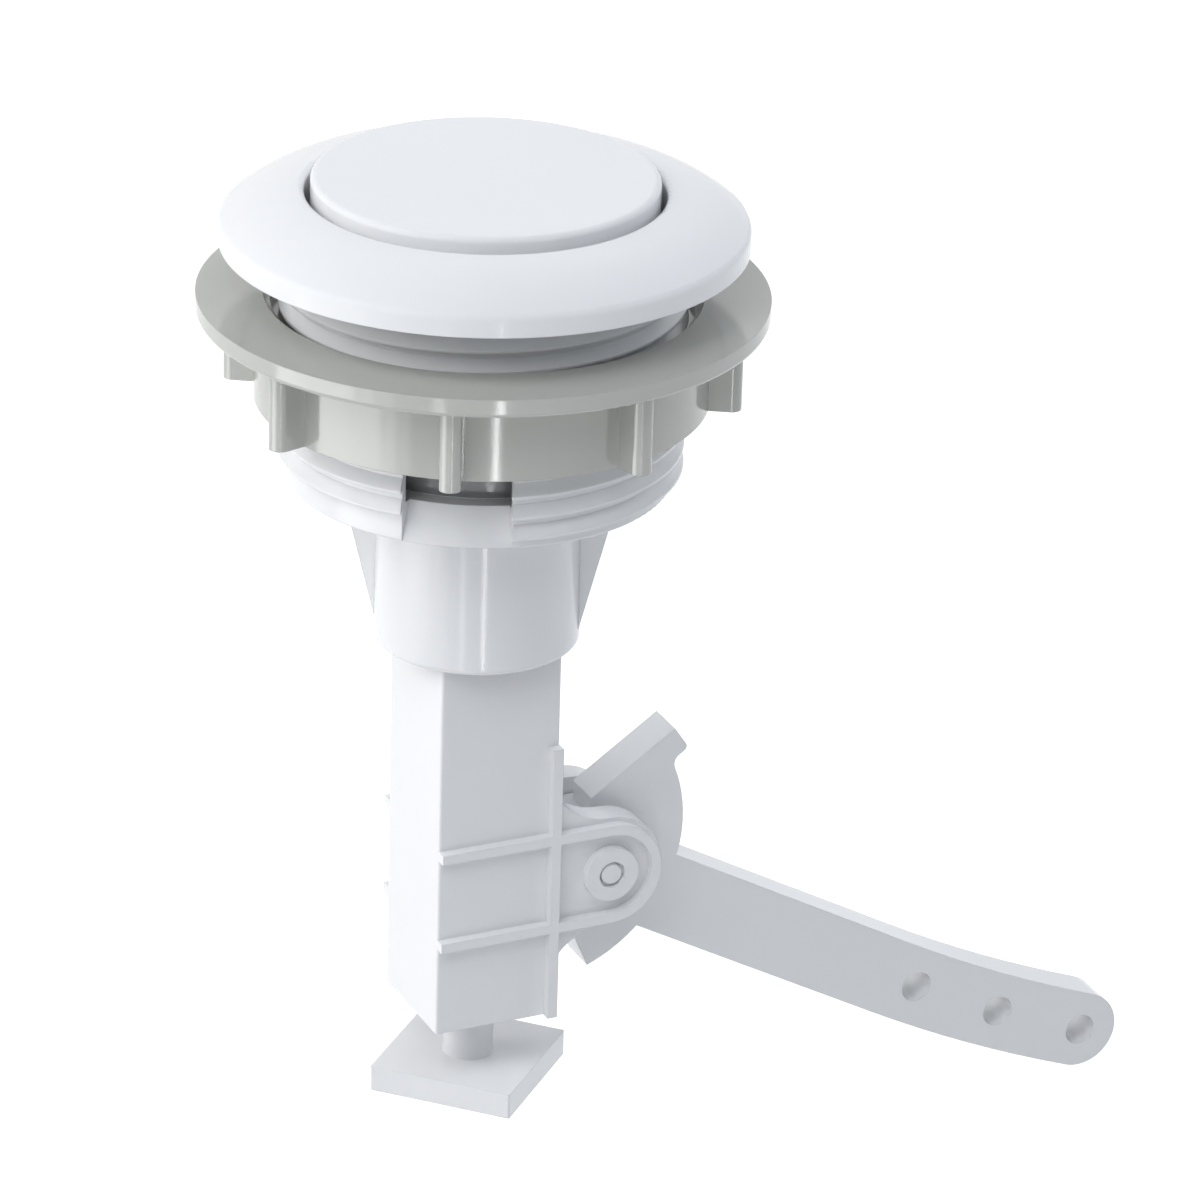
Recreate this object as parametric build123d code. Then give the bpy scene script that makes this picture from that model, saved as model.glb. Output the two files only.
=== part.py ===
from build123d import *
import os
from math import cos, degrees, radians, sin, sqrt

# Push button actuator for a cistern lid. Millimetres, +Z up.
# The origin is on the button's axis, where the bezel lies on the lid. The lever points along +X.

# Button
BUTTON_DIAMETER = 48.0
BUTTON_TRAVEL = 11.0
BUTTON_PROUD = 1.7
BUTTON_CROWN = 0.4
BUTTON_ROUND = 0.85
BUTTON_TOP = 2.0
BUTTON_WALL = 1.4
BUTTON_GAP = 0.8
STOP_LIP_WIDTH = 1.35
STOP_LIP_HEIGHT = 1.8
STOP_GAP = 0.3

# Bezel
BEZEL_RIM_WALL = 3.2
BEZEL_RIM_HEIGHT = 2.9
BEZEL_RISE = 4.7
BEZEL_CROWN = 1.05
BEZEL_WALL = 1.8
BEZEL_RIM_ROUND = 1.3
BEZEL_HOLE_ROUND = 0.75
BEZEL_LAND = 1.5
BEZEL_FIT = 0.3
SPIGOT_WALL = 0.8
SPIGOT_DEPTH = 6.0
SPIGOT_FIT = 0.15

# Body: flanged sleeve, floor, guide barrel, neck and gussets
SLEEVE_WALL = 1.1
SLEEVE_EDGE_ROUND = 0.3
BODY_FLANGE_WIDTH = 6.15
BODY_FLANGE_THICKNESS = 1.4
BODY_DEPTH = 34.55
FLOOR_THICKNESS = 3.15
LEDGE_HEIGHT = 5.35
LEDGE_TOP_DEPTH = 2.45
LEDGE_FOOT_DEPTH = 0.1
WINDOW_HEIGHT = 15.0
WINDOW_ANGLE = 32.5
BODY_TURN = -120.5
BARREL_GAP = 0.6
BARREL_WALL = 1.6
BARREL_HEIGHT = 19.4
NECK_LENGTH = 24.85
NECK_WALL = 1.45
NECK_FIT = 0.1
NECK_ROUND = 0.9
GUSSET_THICKNESS = 2.4
GUSSET_REACH = 5.65
GUSSET_HEIGHT = 22.45

# Lock nut
LID_GAP = 7.5
NUT_HEIGHT = 15.1
NUT_WALL = 4.4
NUT_FIT = 0.35
NUT_FLANGE_WIDTH = 8.0
NUT_FLANGE_THICKNESS = 2.75
NUT_RECESS_WIDTH = 2.2
NUT_RECESS_DEPTH = 3.0
NUT_CHAMFER = 1.0
NUT_ROUND = 0.8
LUG_COUNT = 8
LUG_WIDTH = 3.0
LUG_REACH = 4.5
LUG_ROUND = 1.4

# Carrier, spring and plunger
SLIDE_GAP = 0.3
CARRIER_WALL = 1.6
CARRIER_RIM = 5.0
CARRIER_WEB = 2.0
CARRIER_SKIRT = 17.0
SOCKET_WALL = 2.0
SOCKET_DEPTH = 6.0
STEM_DIAMETER = 9.0
STEM_FIT = 0.05
SPRING_DIAMETER = 18.0
SPRING_WIRE = 1.4
SPRING_TURNS = 7
SPRING_SIDES = 8
BLOCK_FIT = 0.2
BLOCK_ABOVE = 14.0
BLOCK_COVER = 1.0
POCKET_GAP = 0.4
POCKET_FLOOR = 2.0

# Column, ribs and ears
COLUMN_SIDE = 18.3
COLUMN_WALL = 1.8
COLUMN_LENGTH = 82.4
COLUMN_ROUND = 0.4
RIB_WIDTH = 1.5
RIB_HEIGHT = 1.5
RIB_RADIUS = 7.75
EDGE_RIB_HEIGHT = 42.7
EAR_THICKNESS = 4.05
EAR_RADIUS = 8.4
EAR_FLARE = 1.6
BOSS_RADIUS = 4.1
PIVOT_OFFSET = 8.15
PIVOT_HEIGHT = 21.35
TAIL_SLOT_HEIGHT = 16.0

# Pivot pin
PIN_DIAMETER = 3.2
PIN_FIT = 0.05
PIN_RECESS_DIAMETER = 4.0
PIN_RECESS_DEPTH = 0.8
PIN_END_GAP = 0.15
PIN_CHAMFER = 0.2

# Lever, laid out from its pivot
LEVER_THICKNESS = 6.4
LEVER_SWING = 50.0
HUB_RADIUS = 6.0
HUB_GAP = 0.3
NOSE_RADIUS = 2.5
TAIL_NECK = 2.6
TAIL_ROOT = 5.2
STOP_DISTANCE = 7.4
UPPER_STOP_ANGLE = 34.3
UPPER_STOP_START = 4.8
UPPER_STOP_END = 20.5
LOWER_STOP_ANGLE = 23.7
SECTOR_RADIUS = 22.8
SECTOR_BACK = 8.3
SECTOR_RAISE = 3.2
HOOK_WIDTH = 4.0
HOOK_TIP_ROUND = 0.8
HOOK_ROOT_ROUND = 1.6
ARM_ANGLE = -29.15
ARM_DROP = 1.72
ARM_WIDTH = 12.0
ARM_STRAIGHT = 57.7
ARM_CURVE = 250.0
ARM_LENGTH = 94.6
LINK_HOLE_DIAMETER = 4.8
LINK_HOLE_SPACING = 15.7
LINK_HOLE_COUNT = 3

# Foot
FOOT_GAP = 8.6
FOOT_SIDE = 21.65
FOOT_THICKNESS = 3.8
FOOT_TURN = 44.5
FOOT_ROUND = 0.3
FOOT_ROD_DIAMETER = 7.4
FOOT_ROD_FIT = 0.05
FOOT_ROD_END_GAP = 0.3

# Radii, outwards from the button
BUTTON_RADIUS = BUTTON_DIAMETER / 2
HOLE_RADIUS = BUTTON_RADIUS + BUTTON_GAP
SPIGOT_RADIUS = HOLE_RADIUS + SPIGOT_WALL
SLEEVE_BORE = SPIGOT_RADIUS + SPIGOT_FIT
SLEEVE_RADIUS = SLEEVE_BORE + SLEEVE_WALL
BODY_FLANGE_RADIUS = SLEEVE_RADIUS + BODY_FLANGE_WIDTH
RIM_BORE = BODY_FLANGE_RADIUS + BEZEL_FIT
BEZEL_RADIUS = RIM_BORE + BEZEL_RIM_WALL
NUT_BORE = SLEEVE_RADIUS + NUT_FIT
NUT_RADIUS = NUT_BORE + NUT_WALL
NUT_FLANGE_RADIUS = NUT_RADIUS + NUT_FLANGE_WIDTH

# Radii, inwards from the button
SKIRT_BORE = BUTTON_RADIUS - BUTTON_WALL
BARREL_RADIUS = SKIRT_BORE - BARREL_GAP
BARREL_BORE = BARREL_RADIUS - BARREL_WALL
CARRIER_RADIUS = BARREL_BORE - SLIDE_GAP
CARRIER_BORE = CARRIER_RADIUS - CARRIER_WALL
STEM_RADIUS = STEM_DIAMETER / 2
NECK_BORE = COLUMN_SIDE / sqrt(2) + NECK_FIT
NECK_RADIUS = NECK_BORE + NECK_WALL

# Heights
BEZEL_TOP = BEZEL_RIM_HEIGHT + BEZEL_RISE
BUTTON_FACE = BEZEL_TOP + BUTTON_PROUD
BUTTON_UNDERSIDE = BUTTON_FACE - BUTTON_TOP
WEB_HIGH = BUTTON_UNDERSIDE - CARRIER_RIM
WEB_LOW = WEB_HIGH - CARRIER_WEB
LIP_HIGH = -SPIGOT_DEPTH - STOP_GAP
LIP_LOW = LIP_HIGH - STOP_LIP_HEIGHT
FLOOR_LOW = -BODY_DEPTH
FLOOR_HIGH = FLOOR_LOW + FLOOR_THICKNESS
LEDGE_TOP = FLOOR_LOW + LEDGE_HEIGHT
NECK_LOW = FLOOR_LOW - NECK_LENGTH
NUT_FACE = -LID_GAP
NUT_LOW = NUT_FACE - NUT_HEIGHT
COLUMN_LOW = FLOOR_LOW - COLUMN_LENGTH

# Pivot and the lever's tail, which the plunger's pocket moves
HALF_SIDE = COLUMN_SIDE / 2
PIVOT_X = HALF_SIDE + PIVOT_OFFSET
PIVOT_Z = COLUMN_LOW + PIVOT_HEIGHT
TAIL_ANGLE = radians(LEVER_SWING / 2)
TAIL_LENGTH = BUTTON_TRAVEL / (2 * sin(TAIL_ANGLE))
NOSE_Z = PIVOT_Z + TAIL_LENGTH * sin(TAIL_ANGLE)
BLOCK_SIDE = COLUMN_SIDE - 2 * COLUMN_WALL - 2 * BLOCK_FIT
BLOCK_LOW = COLUMN_LOW + BUTTON_TRAVEL + BLOCK_COVER
BLOCK_HIGH = NOSE_Z + BLOCK_ABOVE
POCKET_LOW = NOSE_Z - NOSE_RADIUS - POCKET_GAP
ROD_SOCKET_HIGH = POCKET_LOW - POCKET_FLOOR
EAR_INNER = HALF_SIDE - EAR_THICKNESS
BOSS_FACE = HALF_SIDE + RIB_HEIGHT
PIN_RADIUS = PIN_DIAMETER / 2
FOOT_HIGH = COLUMN_LOW - FOOT_GAP
FOOT_ROD_RADIUS = FOOT_ROD_DIAMETER / 2


def band(inner, outer, low, high):
    """Rectangle of a turned profile, between two radii and two heights."""
    return Pos((inner + outer) / 2, (low + high) / 2) * Rectangle(outer - inner, high - low)


def outline(*points):
    """Flat face with straight sides through the points."""
    return make_face(Polyline(*points, close=True))


def round_corner(face, x, y, radius):
    """Round the corner of a flat face that lies nearest to a point."""
    corner = min(face.vertices(), key=lambda vertex: (vertex.X - x) ** 2 + (vertex.Y - y) ** 2)
    return fillet(corner, radius)


def turned(profile, angle=360.0):
    """Turn a profile of radius and height about the button's axis."""
    return revolve(Plane.XZ * profile, Axis.Z, revolution_arc=angle)


def plate(face, near, far):
    """Plate in front of the middle plane, between two distances from it."""
    return extrude(Plane.XZ.offset(near) * face, far - near)


def middle_plate(face, thickness):
    """Plate centred on the middle plane."""
    return extrude(Plane.XZ * face, thickness / 2, both=True)


def at_pivot(face):
    """Move a face drawn about the pivot to the pivot's place."""
    return Pos(PIVOT_X, PIVOT_Z) * face


def bezel_slope(radius):
    """Height of the bezel's crowned slope at a radius."""
    along = (radius - HOLE_RADIUS) / (BEZEL_RADIUS - HOLE_RADIUS)
    return BEZEL_TOP - BEZEL_RISE * along + 4 * BEZEL_CROWN * along * (1 - along)


def make_bezel():
    """Hollow crowned ring with a rounded rim, a seat for the body's flange and a spigot."""
    land = RIM_BORE - BEZEL_LAND
    middle = (land + SPIGOT_RADIUS) / 2
    spigot_top = (SPIGOT_RADIUS, bezel_slope(SPIGOT_RADIUS) - BEZEL_WALL)
    land_top = (land, bezel_slope(land) - BEZEL_WALL)
    crown = ThreePointArc(
        (HOLE_RADIUS, BEZEL_TOP),
        ((HOLE_RADIUS + BEZEL_RADIUS) / 2, bezel_slope((HOLE_RADIUS + BEZEL_RADIUS) / 2)),
        (BEZEL_RADIUS, BEZEL_RIM_HEIGHT),
    )
    rim = Polyline(
        (BEZEL_RADIUS, BEZEL_RIM_HEIGHT),
        (BEZEL_RADIUS, 0),
        (RIM_BORE, 0),
        (RIM_BORE, BODY_FLANGE_THICKNESS),
        (land, BODY_FLANGE_THICKNESS),
        land_top,
    )
    underside = ThreePointArc(land_top, (middle, bezel_slope(middle) - BEZEL_WALL), spigot_top)
    spigot = Polyline(
        spigot_top, (SPIGOT_RADIUS, -SPIGOT_DEPTH), (HOLE_RADIUS, -SPIGOT_DEPTH), (HOLE_RADIUS, BEZEL_TOP)
    )
    profile = make_face(crown.edges() + rim.edges() + underside.edges() + spigot.edges())
    profile = round_corner(profile, BEZEL_RADIUS, BEZEL_RIM_HEIGHT, BEZEL_RIM_ROUND)
    profile = round_corner(profile, HOLE_RADIUS, BEZEL_TOP, BEZEL_HOLE_ROUND)
    return turned(profile)


def make_push_button():
    """Crowned cap with a skirt, and a lip that stops it under the bezel's spigot."""
    sphere = (BUTTON_RADIUS**2 + BUTTON_CROWN**2) / (2 * BUTTON_CROWN)
    half_way = BUTTON_FACE + BUTTON_CROWN - sphere + sqrt(sphere**2 - BUTTON_RADIUS**2 / 4)
    crown = ThreePointArc(
        (0, BUTTON_FACE + BUTTON_CROWN), (BUTTON_RADIUS / 2, half_way), (BUTTON_RADIUS, BUTTON_FACE)
    )
    rest = Polyline(
        (BUTTON_RADIUS, BUTTON_FACE),
        (BUTTON_RADIUS, LIP_HIGH),
        (BUTTON_RADIUS + STOP_LIP_WIDTH, LIP_HIGH),
        (BUTTON_RADIUS + STOP_LIP_WIDTH, LIP_LOW),
        (SKIRT_BORE, LIP_LOW),
        (SKIRT_BORE, BUTTON_UNDERSIDE),
        (0, BUTTON_UNDERSIDE),
        (0, BUTTON_FACE + BUTTON_CROWN),
    )
    profile = make_face(crown.edges() + rest.edges())
    return turned(round_corner(profile, BUTTON_RADIUS, BUTTON_FACE, BUTTON_ROUND))


def make_button_carrier():
    """Barrel with a web across it and a socket for the plunger's stem."""
    socket = STEM_RADIUS + STEM_FIT
    profile = (
        band(CARRIER_BORE, CARRIER_RADIUS, WEB_LOW - CARRIER_SKIRT, BUTTON_UNDERSIDE)
        + band(0, CARRIER_RADIUS, WEB_LOW, WEB_HIGH)
        + band(socket, socket + SOCKET_WALL, WEB_LOW - SOCKET_DEPTH, WEB_HIGH)
    )
    return turned(profile)


def window_cut():
    """Sector that opens the sleeve's wall above a sloping ledge."""
    clear = SLEEVE_RADIUS + SLEEVE_WALL
    ledge = SLEEVE_RADIUS - LEDGE_TOP_DEPTH
    top = LEDGE_TOP + WINDOW_HEIGHT
    foot = SLEEVE_RADIUS - LEDGE_FOOT_DEPTH
    return turned(
        outline((ledge, LEDGE_TOP), (foot, FLOOR_LOW), (clear, FLOOR_LOW), (clear, top), (ledge, top)),
        WINDOW_ANGLE,
    )


def gusset():
    """Triangular web from the floor's underside to the neck."""
    root = (NECK_BORE + NECK_RADIUS) / 2
    low = FLOOR_LOW - GUSSET_HEIGHT
    web = outline((root, FLOOR_LOW), (NECK_RADIUS + GUSSET_REACH, FLOOR_LOW), (NECK_RADIUS, low), (root, low))
    return middle_plate(web, GUSSET_THICKNESS)


def make_body():
    """One turned moulding with two windows in its sleeve and two gussets under its floor."""
    profile = (
        band(SLEEVE_BORE, BODY_FLANGE_RADIUS, 0, BODY_FLANGE_THICKNESS)
        + band(SLEEVE_BORE, SLEEVE_RADIUS, FLOOR_LOW, BODY_FLANGE_THICKNESS)
        + band(STEM_RADIUS + SLIDE_GAP, SLEEVE_RADIUS, FLOOR_LOW, FLOOR_HIGH)
        + band(BARREL_BORE, BARREL_RADIUS, FLOOR_LOW, FLOOR_HIGH + BARREL_HEIGHT)
        + band(BARREL_BORE, SLEEVE_RADIUS, FLOOR_LOW, LEDGE_TOP)
        + band(NECK_BORE, NECK_RADIUS, NECK_LOW, FLOOR_HIGH)
    )
    profile = round_corner(profile, SLEEVE_RADIUS, FLOOR_LOW, SLEEVE_EDGE_ROUND)
    profile = round_corner(profile, NECK_RADIUS, NECK_LOW, NECK_ROUND)
    body = turned(profile)
    for side in (0, 180):
        body -= Rot(0, 0, BODY_TURN - WINDOW_ANGLE / 2 + side) * window_cut()
        body += Rot(0, 0, BODY_TURN + 90 + side) * gusset()
    return body


def lug():
    """Grip lug that stands out from the nut's hub, with a rounded outer edge."""
    root = NUT_RADIUS - LUG_ROUND
    tip = NUT_RADIUS + LUG_REACH
    blade = Pos((root + tip) / 2, 0) * Rectangle(tip - root, LUG_WIDTH)
    for side in (-1, 1):
        blade = round_corner(blade, tip, side * LUG_WIDTH / 2, LUG_ROUND)
    return Pos(0, 0, NUT_LOW) * extrude(blade, NUT_HEIGHT - NUT_FLANGE_THICKNESS / 2)


def make_lock_nut():
    """Flanged nut with a recessed mouth, a ring of grip lugs and a rounded flange."""
    mouth = NUT_BORE + NUT_RECESS_WIDTH
    profile = band(NUT_BORE, NUT_RADIUS, NUT_LOW, NUT_FACE)
    profile += band(NUT_BORE, NUT_FLANGE_RADIUS, NUT_FACE - NUT_FLANGE_THICKNESS, NUT_FACE)
    profile -= band(NUT_BORE, mouth, NUT_FACE - NUT_RECESS_DEPTH, NUT_FACE)
    profile -= outline((mouth, NUT_FACE), (mouth + NUT_CHAMFER, NUT_FACE), (mouth, NUT_FACE - NUT_CHAMFER))
    profile = round_corner(profile, NUT_FLANGE_RADIUS, NUT_FACE - NUT_FLANGE_THICKNESS, NUT_ROUND)
    nut = turned(profile)
    for number in range(LUG_COUNT):
        nut += Rot(0, 0, BODY_TURN + number * 360 / LUG_COUNT) * lug()
    return nut


def make_return_spring():
    """Coil between the body's floor and the carrier's web."""
    height = WEB_LOW - FLOOR_HIGH - SPRING_WIRE
    path = Helix(height / SPRING_TURNS, height, SPRING_DIAMETER / 2)
    section = Plane(origin=path @ 0, z_dir=path % 0) * RegularPolygon(SPRING_WIRE / 2, SPRING_SIDES)
    return Pos(0, 0, FLOOR_HIGH + SPRING_WIRE / 2) * sweep(section, path=path)


def make_plunger():
    """Round stem with a square slider, which has a pocket for the lever's nose and a rod socket."""
    stem = Pos(0, 0, BLOCK_HIGH) * extrude(Circle(STEM_RADIUS), WEB_LOW - BLOCK_HIGH)
    block = Pos(0, 0, BLOCK_LOW) * extrude(Rectangle(BLOCK_SIDE, BLOCK_SIDE), BLOCK_HIGH - BLOCK_LOW)
    socket = extrude(Circle(FOOT_ROD_RADIUS + FOOT_ROD_FIT), ROD_SOCKET_HIGH - BLOCK_LOW)
    deepest = PIVOT_X - TAIL_LENGTH - NOSE_RADIUS - POCKET_GAP
    pocket = band(deepest, BLOCK_SIDE, POCKET_LOW, 2 * NOSE_Z - POCKET_LOW)
    plunger = stem + block
    plunger -= middle_plate(pocket, LEVER_THICKNESS + 2 * POCKET_GAP)
    return plunger - Pos(0, 0, BLOCK_LOW) * socket


def ear_face():
    """Round lobe about the pivot that flares into the column's wall above and below."""
    flare = PIVOT_OFFSET + EAR_FLARE
    reach = EAR_RADIUS + flare
    half_height = reach - sqrt(flare**2 - PIVOT_OFFSET**2)
    face = band(-PIVOT_OFFSET - COLUMN_WALL / 2, 0, -half_height, half_height)
    for side in (-1, 1):
        face -= Pos(0, side * reach) * Circle(flare)
    return face + Circle(EAR_RADIUS)


def rib_face():
    """Rib that runs from the column's edge, round the pivot and back."""
    run = PIVOT_X + HALF_SIDE
    inner = RIB_RADIUS - RIB_WIDTH
    outer_lobe = band(-run, 0, -RIB_RADIUS, RIB_RADIUS) + Circle(RIB_RADIUS)
    inner_lobe = band(-run - RIB_WIDTH, 0, -inner, inner) + Circle(inner)
    return outer_lobe - inner_lobe


def column_side():
    """What stands on one side of the column: ear, ribs and pin boss."""
    sunk = HALF_SIDE - COLUMN_ROUND
    edge_rib = band(HALF_SIDE - RIB_WIDTH, HALF_SIDE, COLUMN_LOW, COLUMN_LOW + EDGE_RIB_HEIGHT)
    side = plate(at_pivot(ear_face()), EAR_INNER, HALF_SIDE)
    side += plate(at_pivot(rib_face()), sunk, BOSS_FACE)
    side += plate(at_pivot(Circle(BOSS_RADIUS)), sunk, BOSS_FACE)
    return side + plate(edge_rib, sunk, BOSS_FACE)


def make_column():
    """Square tube with a slot for the lever's tail and the same ribs and ear on both sides."""
    bore = COLUMN_SIDE - 2 * COLUMN_WALL
    section = RectangleRounded(COLUMN_SIDE, COLUMN_SIDE, COLUMN_ROUND) - Rectangle(bore, bore)
    column = Pos(0, 0, COLUMN_LOW) * extrude(section, COLUMN_LENGTH)
    side = column_side()
    column += side
    column += mirror(side, Plane.XZ)
    slot = Rectangle(2 * (PIVOT_OFFSET + COLUMN_WALL), TAIL_SLOT_HEIGHT)
    column -= middle_plate(at_pivot(slot), LEVER_THICKNESS + 2 * POCKET_GAP)
    column -= middle_plate(at_pivot(Circle(PIN_RADIUS + PIN_FIT)), 2 * BOSS_FACE)
    recess = plate(at_pivot(Circle(PIN_RECESS_DIAMETER / 2)), BOSS_FACE - PIN_RECESS_DEPTH, BOSS_FACE)
    column -= recess
    return column - mirror(recess, Plane.XZ)


def make_pivot_pin():
    """Pin across both ears, with chamfered ends that stop short of the boss faces."""
    pin = middle_plate(at_pivot(Circle(PIN_RADIUS)), 2 * (BOSS_FACE - PIN_END_GAP))
    return chamfer(pin.edges().filter_by(GeomType.CIRCLE), PIN_CHAMFER)


def sector_face():
    """Round sector between two stop edges, with a hook at the end of the upper one."""
    up = Vector(cos(radians(UPPER_STOP_ANGLE)), sin(radians(UPPER_STOP_ANGLE)))
    out = Vector(-up.Y, up.X)
    down = Vector(sin(radians(LOWER_STOP_ANGLE)), -cos(radians(LOWER_STOP_ANGLE)))
    upper_foot = out * STOP_DISTANCE
    lower_foot = Vector(down.Y, -down.X) * STOP_DISTANCE
    far = 2 * SECTOR_RADIUS
    centre = Vector(-SECTOR_BACK, SECTOR_RAISE)
    upper_start = upper_foot + up * UPPER_STOP_START
    wedge = outline(
        upper_start, upper_foot + up * far, Vector(far, -far), lower_foot + down * far, lower_foot, Vector()
    )
    face = wedge & (Pos(centre) * Circle(SECTOR_RADIUS))
    bar_length = UPPER_STOP_END - UPPER_STOP_START
    bar_middle = upper_start + up * (bar_length / 2) - out * (HOOK_WIDTH / 2)
    face += Pos(bar_middle) * Rot(0, 0, UPPER_STOP_ANGLE) * Rectangle(bar_length, HOOK_WIDTH)
    tip = upper_foot + up * UPPER_STOP_END - out * HOOK_WIDTH
    across = (tip - centre).dot(out)
    root = centre + out * across + up * sqrt(SECTOR_RADIUS**2 - across**2)
    face = round_corner(face, tip.X, tip.Y, HOOK_TIP_ROUND)
    return round_corner(face, root.X, root.Y, HOOK_ROOT_ROUND)


def arm_line(offset):
    """Straight run and gentle upward curve, at an offset above the arm's middle line."""
    along = Vector(cos(radians(ARM_ANGLE)), sin(radians(ARM_ANGLE)))
    above = Vector(-along.Y, along.X)
    straight = Line(above * (offset - ARM_DROP), above * (offset - ARM_DROP) + along * ARM_STRAIGHT)
    turn = degrees((ARM_LENGTH - ARM_STRAIGHT) / ARM_CURVE)
    return straight, JernArc(straight @ 1, straight % 1, ARM_CURVE - offset, turn)


def arm_face():
    """Curved arm with a round end."""
    top_straight, top_curve = arm_line(ARM_WIDTH / 2)
    low_straight, low_curve = arm_line(-ARM_WIDTH / 2)
    end = JernArc(top_curve @ 1, top_curve % 1, ARM_WIDTH / 2, -180)
    root = Line(low_straight @ 0, top_straight @ 0)
    edges = top_straight.edges() + top_curve.edges() + end.edges()
    return make_face(edges + low_curve.edges() + low_straight.edges() + root.edges())


def link_hole_centres():
    """Points on the arm's middle line, stepped back from the centre of its round end."""
    straight, curve = arm_line(0)
    middle = Wire(straight.edges() + curve.edges())
    steps = [ARM_LENGTH - number * LINK_HOLE_SPACING for number in range(LINK_HOLE_COUNT)]
    return [middle.position_at(step, position_mode=PositionMode.LENGTH) for step in steps]


def tail_face():
    """Tapered tail that points into the column, with a round nose."""
    nose = Vector(-cos(TAIL_ANGLE), sin(TAIL_ANGLE)) * TAIL_LENGTH
    across = Vector(sin(TAIL_ANGLE), cos(TAIL_ANGLE))
    root = across * (TAIL_ROOT / 2)
    neck = across * (TAIL_NECK / 2)
    return outline(root, nose + neck, nose - neck, root * -1) + Pos(nose) * Circle(NOSE_RADIUS)


def make_lever():
    """Flat moulding with a stop sector, a holed arm, a tail and a thicker hub."""
    face = sector_face() + arm_face() + tail_face() + Circle(HUB_RADIUS)
    for centre in link_hole_centres():
        face -= Pos(centre) * Circle(LINK_HOLE_DIAMETER / 2)
    lever = middle_plate(at_pivot(face), LEVER_THICKNESS)
    lever += middle_plate(at_pivot(Circle(HUB_RADIUS)), 2 * (EAR_INNER - HUB_GAP))
    return lever - middle_plate(at_pivot(Circle(PIN_RADIUS + PIN_FIT)), 2 * EAR_INNER)


def make_foot():
    """Square plate under a round rod that turns in the plunger's socket."""
    foot_plate = extrude(RectangleRounded(FOOT_SIDE, FOOT_SIDE, FOOT_ROUND), -FOOT_THICKNESS)
    foot = Pos(0, 0, FOOT_HIGH) * Rot(0, 0, FOOT_TURN) * foot_plate
    rod_length = ROD_SOCKET_HIGH - FOOT_ROD_END_GAP - FOOT_HIGH
    return foot + Pos(0, 0, FOOT_HIGH) * extrude(Circle(FOOT_ROD_RADIUS), rod_length)


PIECES = {
    "bezel": make_bezel,
    "push_button": make_push_button,
    "button_carrier": make_button_carrier,
    "body": make_body,
    "lock_nut": make_lock_nut,
    "return_spring": make_return_spring,
    "plunger": make_plunger,
    "column": make_column,
    "pivot_pin": make_pivot_pin,
    "lever": make_lever,
    "foot": make_foot,
}

os.makedirs("parts", exist_ok=True)
for name, make in PIECES.items():
    export_step(make(), f"parts/{name}.step")
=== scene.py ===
"""Looks of a cistern push button actuator: sleeve thread, return spring, finishes and a studio."""

from math import cos, radians, sin

import bpy
import numpy as np
from bpy.props import FloatProperty, FloatVectorProperty, IntProperty, PointerProperty
from mathutils import Matrix, Vector


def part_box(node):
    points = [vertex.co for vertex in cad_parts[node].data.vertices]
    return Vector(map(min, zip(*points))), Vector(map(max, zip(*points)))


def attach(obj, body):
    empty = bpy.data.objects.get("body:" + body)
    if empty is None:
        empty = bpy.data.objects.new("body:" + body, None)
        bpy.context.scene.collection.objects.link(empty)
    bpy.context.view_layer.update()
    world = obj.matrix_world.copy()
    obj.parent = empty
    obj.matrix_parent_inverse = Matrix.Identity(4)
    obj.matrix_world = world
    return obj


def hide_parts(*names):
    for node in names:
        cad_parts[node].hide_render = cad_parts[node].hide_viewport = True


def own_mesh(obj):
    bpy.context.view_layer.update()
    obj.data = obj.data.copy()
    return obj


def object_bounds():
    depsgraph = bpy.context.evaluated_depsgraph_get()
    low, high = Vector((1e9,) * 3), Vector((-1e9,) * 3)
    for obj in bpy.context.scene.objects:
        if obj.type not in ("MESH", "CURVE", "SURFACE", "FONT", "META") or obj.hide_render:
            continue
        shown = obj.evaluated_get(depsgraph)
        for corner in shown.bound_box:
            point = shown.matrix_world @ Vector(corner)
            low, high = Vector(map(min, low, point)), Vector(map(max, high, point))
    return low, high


bl_info = {
    "name": "Push Button Actuator",
    "version": (1, 0, 0),
    "blender": (4, 5, 0),
    "location": "View3D > Sidebar > Actuator",
    "description": "Thread, spring, finishes and studio for a cistern push button actuator",
    "category": "Object",
}

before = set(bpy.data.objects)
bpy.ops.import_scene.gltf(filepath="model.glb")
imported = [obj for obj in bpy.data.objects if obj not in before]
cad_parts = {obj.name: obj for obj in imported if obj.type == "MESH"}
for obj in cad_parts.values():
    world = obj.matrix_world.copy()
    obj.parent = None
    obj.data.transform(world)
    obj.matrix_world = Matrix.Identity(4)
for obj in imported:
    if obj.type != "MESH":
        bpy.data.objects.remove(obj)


def plain_box():
    """Lowest and highest corner of what is shown, as plain lists of numbers."""
    return [[float(value) for value in corner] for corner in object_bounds()]


CAD_BOX = plain_box()
NUT_LOW, NUT_HIGH = (float(corner[2]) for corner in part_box("lock_nut"))
SPRING_LOW, SPRING_HIGH = (float(corner[2]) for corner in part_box("return_spring"))
SPRING_REACH = float(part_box("return_spring")[1][0])

COVERS = ("bezel", "push_button")
MOULDINGS = ("body", "button_carrier", "column", "plunger", "pivot_pin", "lever", "foot")

# How far the upper ridge goes into the nut's recess, and the lower ridge's room under the nut, in metres
NUT_RECESS = 0.0029
NUT_ROOM = 0.00005

# Fewest rows in a length of ridge
LEAST_ROWS = 3

# Edges that turn further than this are drawn sharp
SMOOTH_LIMIT = radians(30)

# Sockets of a mix node that is set to colours
MIX_FACTOR, MIX_FIRST, MIX_SECOND, MIX_RESULT = 0, 6, 7, 2

WHITE = (1, 1, 1)

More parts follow.
